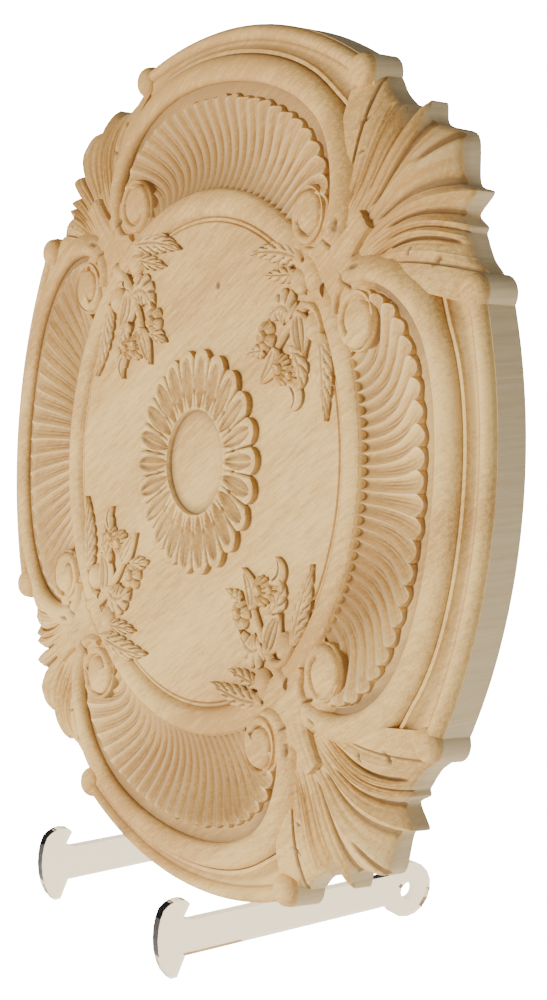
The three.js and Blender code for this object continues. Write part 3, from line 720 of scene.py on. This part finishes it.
def rosette_form(petals, groove):
    """Round-ended petals round a sunk disc, each with two lens-shaped channels beside a sharp rib."""
    samples = 18
    reach, notch = 79.5, 10
    rings = np.concatenate([[0, 0.4, 0.8, 0.97, 1.0], np.linspace(1.03, 2, 50)])  # 1 at the disc's edge
    v, u = np.meshgrid(rings, np.linspace(0, 1, petals * samples + 1), indexing="ij")
    within = 2 * np.abs((u * petals) % 1 - 0.5)  # 0 on a petal's middle, 1 in the gap
    out = v - 1
    inner = v <= 1
    tip = reach - notch * (1 - (1 - within**1.9) ** 0.6)
    r = np.where(inner, DISC_RADIUS * v, mix(DISC_RADIUS + 0.4, tip, out))
    angle = 2 * pi * u
    lens = np.sin(pi * np.clip((out + 0.04) / 0.96, 0, 1) ** 1.15) ** 0.75
    channel = np.sin(pi * np.clip(within / (0.06 + 0.72 * lens), 0, 1)) ** 0.6
    channel = channel * ease(0, 0.12, out) * (1 - ease(0.8, 0.93, out))
    gap = ease(0.0, 0.3, out) * np.clip((within - 0.86) / 0.14, 0, 1)
    drilled = line(within - 1, 0.16) * line(out - 0.38, 0.06)
    petal = FIELD + 3.9 + 1.4 * ease(0.1, 0.7, out) - 0.5 * ease(0.9, 1, out)
    petal = petal - groove * channel - mix(2.2, 3.8, ease(0.5, 0.9, out)) * gap - 2.5 * drilled
    disc = FIELD + 0.4 - 0.3 * v**2
    # Painted shade in the drilled holes, faintly all over, and at the foot and top of the walls; painted
    # highlight on the crests
    return carved(r * np.cos(angle), r * np.sin(angle), np.where(inner, disc, petal), FIELD_FOOT,
                  near=(2, 3), added_shade=0.6 * drilled + 0.08, seam=1.0, outline=0.2, highlight_limit=0.6)


def leaf_form(start, control, end, half_width, rise, cuts=0, slant=0.3, stem=False, ribs=0):
    """A leaf along a curve, with a mid groove.

    Cuts are the deep slanting ones that part its lobes, and ribs the long grooves along it. A stem is
    smooth and keeps more of its width.
    """
    v, u = np.mgrid[0:1:41j, 0:1:21j]
    start, control, end = (np.array(p, dtype=float).reshape(2, 1, 1) for p in (start, control, end))
    point = bezier(start, control, end, v)
    tangent = 2 * (1 - v) * (control - start) + 2 * v * (end - control)
    tangent = tangent / np.hypot(*tangent)
    across = 2 * u - 1
    outline = 0.16 * (1 - v) + np.sin(pi * v**0.8) ** 0.8
    if stem:
        outline = mix(1, 0.5, v) * np.sqrt(np.clip(1 - v**8, 0, 1))
    beat = ((v - slant * np.abs(across)) * (cuts + 1)) % 1
    if cuts:
        outline = outline * (1 - 0.2 * line(((v - slant) * (cuts + 1)) % 1 - 0.5, 0.16))
    point = point + np.stack([tangent[1], -tangent[0]]) * across * outline * half_width
    body = (1 - 0.6 * np.abs(across) ** 2.4) * (1 - 0.25 * v)
    ends = ease(0.06, 0.2, v) * (1 - ease(0.82, 0.95, v))
    cut = 0 * v if stem else 1.1 * line(across, 0.14) * ends
    if cuts:
        cut = cut + 2.6 * line(beat - 0.5, 0.13) * ease(0.18, 0.4, np.abs(across)) * ease(0.1, 0.2, v)
    for k in range(ribs):
        cut = cut + 2.0 * line(across - mix(-0.62, 0.62, (k + 0.5) / ribs), 0.11) * ends
    level = FIELD + rise * body - np.minimum(1.25 * cut, 0.8 * rise)
    # Painted shade in the cuts, at the foot of the walls and along their top; painted highlight on the
    # crests
    return carved(point[0], point[1], level, FIELD_FOOT, added_shade=0.15 * cut, seam=1.0, outline=0.7,
                  highlight_limit=0.6)


def flower_form(x, y, radius, rise, petals, turn=0.0):
    """A small flower: round petals with a fine cut in each, round a raised button."""
    samples = 12 if petals < 8 else 6
    v, u = np.mgrid[0:1:15j, 0:1:(petals * samples + 1) * 1j]
    angle = 2 * pi * u + turn
    beat = np.abs(np.sin(petals * pi * u))
    r = radius * v * (1 - 0.24 * (1 - beat**0.6) * v)
    cup = 0.7 + 0.3 * np.sin(pi * np.clip(v * 1.1, 0, 1)) - 0.4 * v**6
    seam = 0.5 * (1 - beat**0.5) * ease(0.3, 0.5, v)
    vein = 0.16 * line(beat - 1, 0.02) * ease(0.35, 0.5, v) * (1 - ease(0.7, 0.85, v))
    button = 0.3 * (1 - ease(0.26, 0.36, v)) - 0.5 * line(v - 0.36, 0.07)
    level = FIELD + rise * (cup - seam - vein + button)
    # Painted shade at the foot of the walls and along their top
    return carved(x + r * np.cos(angle), y + r * np.sin(angle), level, FIELD_FOOT, near=(1, 2),
                  seam=1.0, outline=0.45)


def ball_form(x, y, radius, rise):
    """A smooth ball that stands out of the field."""
    v, u = np.mgrid[0:1:13j, 0:1:33j]
    r = radius * v
    angle = 2 * pi * u
    sunk = 1.0
    level = FIELD - sunk + (rise + sunk) * np.sqrt(np.clip(1 - v**2, 0, 1))
    # Painted shade at the foot of the wall
    return carved(x + r * np.cos(angle), y + r * np.sin(angle), level, FIELD_FOOT)


def spray_forms():
    """One spray: leaves, a rose, daisies and balls on stems that grow out of a crossing."""
    return [
        leaf_form((136, 128), (108, 120), (84, 79), 5.4, 5.4, stem=True),
        leaf_form((106, 108), (92, 124), (76, 104), 11.5, 6.2, cuts=4, slant=0.1),
        leaf_form((90, 88), (86, 76), (73, 62), 7.5, 6, ribs=2),
        leaf_form((76, 84), (66, 85), (54, 80), 5.2, 5, cuts=2),
        leaf_form((112, 114), (112, 96), (122, 85), 11, 6, ribs=3),
        leaf_form((106, 90), (124, 78), (119, 62), 7, 5.6, cuts=3),
        leaf_form((108, 66), (123, 58), (111, 48), 6.2, 5.4, ribs=1),
        flower_form(96, 74, 11, 6, 13),
        flower_form(109, 71, 8.5, 5.4, 9, 0.6),
        flower_form(74, 94, 11, 6.2, 5, 0.3),
        ball_form(107, 133, 9.5, 6),
        ball_form(129, 105, 10.5, 6.6),
        leaf_form((118, 118), (136, 120), (141, 96), 3.4, 6.4, stem=True),
        leaf_form((112, 146), (82, 154), (45, 147), 8, 5.6, cuts=5),
        leaf_form((104, 137), (86, 135), (64, 134), 5.4, 4.8, cuts=3),
        leaf_form((139, 102), (143, 78), (152, 46), 8.5, 5.6, cuts=6),
    ]


# Operators, one for each piece or group of like pieces


class CarveStep(bpy.types.Operator):
    """A step that adds one carved piece"""

    bl_options = {"REGISTER", "UNDO"}

    def carve(self, sizes):
        raise NotImplementedError

    def execute(self, context):
        self.carve(context.scene.medallion_sizes)
        return {"FINISHED"}


class MEDALLION_OT_board(CarveStep):
    """Add the lobed board with its plain side wall and flat back"""

    bl_idname = "medallion.board"
    bl_label = "Board"

    def carve(self, sizes):
        finished("board", board_form(), sharp=30)


class MEDALLION_OT_field(CarveStep):
    """Add the turned field, its ring and the crossings"""

    bl_idname = "medallion.field"
    bl_label = "Field and ring"

    def carve(self, sizes):
        finished("field_and_ring", gathered([field_form()]))
        finished("crossings", gathered([crossing_form()], QUARTERS))


class MEDALLION_OT_rosette(CarveStep):
    """Add the rosette in the middle of the field"""

    bl_idname = "medallion.rosette"
    bl_label = "Rosette"

    def carve(self, sizes):
        finished("rosette", rosette_form(sizes.petals, mm(sizes.petal_groove)))


class MEDALLION_OT_shells(CarveStep):
    """Add the four fluted shells"""

    bl_idname = "medallion.shells"
    bl_label = "Shells"

    def carve(self, sizes):
        form = shell_form(sizes.flutes, mm(sizes.flute_depth))
        finished("shells", gathered([form], QUARTERS))


class MEDALLION_OT_frames(CarveStep):
    """Add the roll, fillet, cove and bead round each lobe, with the rim's rolled ends"""

    bl_idname = "medallion.frames"
    bl_label = "Lobe frames"

    def carve(self, sizes):
        finished("lobe_frames", gathered([frame_form()], QUARTERS))
        finished("rim_ends", gathered([knob_form()], BOTH_SIDES))


class MEDALLION_OT_volutes(CarveStep):
    """Add the eight volutes"""

    bl_idname = "medallion.volutes"
    bl_label = "Volutes"

    def carve(self, sizes):
        finished("volutes", gathered([volute_form()], BOTH_SIDES))


class MEDALLION_OT_fans(CarveStep):
    """Add the leaf fans and husks at the four corners"""

    bl_idname = "medallion.fans"
    bl_label = "Corner fans"

    def carve(self, sizes):
        finished("corner_fans", gathered([fan_form(sizes.leaf_groove)], QUARTERS))
        finished("husks", gathered([husk_form()], QUARTERS))


class MEDALLION_OT_sprays(CarveStep):
    """Add the four sprays of flowers and leaves in the field"""

    bl_idname = "medallion.sprays"
    bl_label = "Sprays"

    def carve(self, sizes):
        finished("sprays", gathered(spray_forms(), EACH_QUARTER))


class MEDALLION_OT_stand(bpy.types.Operator):
    """Give the CAD stand its clear plastic"""

    bl_idname = "medallion.stand"
    bl_label = "Stand"
    bl_options = {"REGISTER", "UNDO"}

    def execute(self, context):
        plastic = clear_acrylic()
        for name in ("stand_leg_left", "stand_leg_right", "stand_crossbar"):
            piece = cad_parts[name]
            piece.data.materials.clear()
            piece.data.materials.append(plastic)
        return {"FINISHED"}


def overexposed(tree, plain, kind, share, direct_white=24.0, white_through_plastic=3.0):
    """The plain shader as light and shadow see it, but near white to the eye, like overexposed paper.

    Through the clear plastic the eye sees less of that white. Share is how much of the plain shader is
    lost in it.
    """
    path = add_node(tree, "ShaderNodeLightPath").outputs
    direct = add_node(tree, "ShaderNodeMath", {0: path["Diffuse Depth"], 1: 0.5}, operation="LESS_THAN")
    through = add_node(tree, "ShaderNodeMath", {0: path["Is Transmission Ray"], 1: direct.outputs[0]},
                       operation="MULTIPLY")
    seen = add_node(tree, "ShaderNodeMath", {0: path["Is Camera Ray"], 1: through.outputs[0]},
                    operation="ADD", use_clamp=True)
    strength = add_node(tree, "ShaderNodeMapRange",
                        {0: path["Is Camera Ray"], 3: white_through_plastic, 4: direct_white})
    white = add_node(tree, kind, {"Color": (1, 1, 1, 1), "Strength": strength.outputs[0]})
    factor = add_node(tree, "ShaderNodeMath", {0: seen.outputs[0], 1: share}, operation="MULTIPLY")
    return add_node(tree, "ShaderNodeMixShader", {0: factor.outputs[0], 1: plain.outputs[0],
                                                  2: white.outputs[0]}).outputs[0]


def soft_light(name, place, aim, size, watts):
    """A square area light, its size in metres."""
    lamp = bpy.data.lights.new(name, "AREA")
    lamp.shape = "SQUARE"
    lamp.size = size
    lamp.energy = watts
    light = bpy.data.objects.new(name, lamp)
    light.location = place
    light.rotation_euler = (Vector(aim) - Vector(place)).to_track_quat("-Z", "Y").to_euler()
    bpy.context.scene.collection.objects.link(light)


class MEDALLION_OT_stage(bpy.types.Operator):
    """Add the pale floor, the soft studio light and the camera"""

    bl_idname = "medallion.stage"
    bl_label = "Stage"
    bl_options = {"REGISTER", "UNDO"}

    def execute(self, context):
        scene = context.scene
        ground = bmesh.new()
        bmesh.ops.create_grid(ground, x_segments=1, y_segments=1, size=FLOOR_REACH)
        mesh = bpy.data.meshes.new("floor")
        ground.to_mesh(mesh)
        ground.free()
        # Matt white paper under so much light that hardly a shadow is left on it
        material, tree = new_material("white_paper")
        shader = add_node(tree, "ShaderNodeBsdfPrincipled", {
            "Base Color": linear("FBFAF8"), "Roughness": 0.9, "Specular IOR Level": 0.1,
            "Emission Color": (1, 1, 1, 1), "Emission Strength": 1.15})
        paper = overexposed(tree, shader, "ShaderNodeEmission", 0.8)
        add_node(tree, "ShaderNodeOutputMaterial", {"Surface": paper})
        mesh.materials.append(material)
        floor = bpy.data.objects.new("floor", mesh)
        scene.collection.objects.link(floor)

        world = bpy.data.worlds.new("studio")
        world.use_nodes = True
        world.node_tree.nodes.clear()
        fill = add_node(world.node_tree, "ShaderNodeBackground", {"Color": (1, 1, 1, 1), "Strength": 0.22})
        sky = overexposed(world.node_tree, fill, "ShaderNodeBackground", 1.0)
        add_node(world.node_tree, "ShaderNodeOutputWorld", {"Surface": sky})
        scene.world = world

        soft_light("key", scene.medallion_finish.light, MIDDLE, size=1.3, watts=262)

        lens = bpy.data.cameras.new("camera")
        lens.sensor_fit = "AUTO"
        lens.sensor_width = 36
        lens.lens = CAMERA_LENS
        camera = bpy.data.objects.new("camera", lens)
        camera.location = CAMERA_PLACE
        camera.rotation_euler = CAMERA_TURN
        scene.collection.objects.link(camera)
        scene.camera = camera
        return {"FINISHED"}


class MEDALLION_PT_panel(bpy.types.Panel):
    """Sizes, tones and steps of the medallion"""

    bl_label = "Carved medallion"
    bl_space_type = "VIEW_3D"
    bl_region_type = "UI"
    bl_category = "Medallion"

    def draw(self, context):
        for group in (context.scene.medallion_sizes, context.scene.medallion_finish):
            for name in group.bl_rna.properties.keys():
                if name not in ("rna_type", "name"):
                    self.layout.prop(group, name)
        for step in STEPS:
            self.layout.operator(step.bl_idname)


STEPS = (
    MEDALLION_OT_board,
    MEDALLION_OT_field,
    MEDALLION_OT_rosette,
    MEDALLION_OT_shells,
    MEDALLION_OT_frames,
    MEDALLION_OT_volutes,
    MEDALLION_OT_fans,
    MEDALLION_OT_sprays,
    MEDALLION_OT_stand,
    MEDALLION_OT_stage,
)
CLASSES = (MedallionSizes, MedallionFinish, *STEPS, MEDALLION_PT_panel)


def register():
    for one in CLASSES:
        bpy.utils.register_class(one)
    bpy.types.Scene.medallion_sizes = PointerProperty(type=MedallionSizes)
    bpy.types.Scene.medallion_finish = PointerProperty(type=MedallionFinish)


def unregister():
    del bpy.types.Scene.medallion_sizes
    del bpy.types.Scene.medallion_finish
    for one in reversed(CLASSES):
        bpy.utils.unregister_class(one)


def main():
    register()
    bpy.ops.medallion.board()
    bpy.ops.medallion.field()
    bpy.ops.medallion.rosette()
    bpy.ops.medallion.shells()
    bpy.ops.medallion.frames()
    bpy.ops.medallion.volutes()
    bpy.ops.medallion.fans()
    bpy.ops.medallion.sprays()
    bpy.ops.medallion.stand()
    bpy.ops.medallion.stage()


if __name__ == "__main__":
    main()
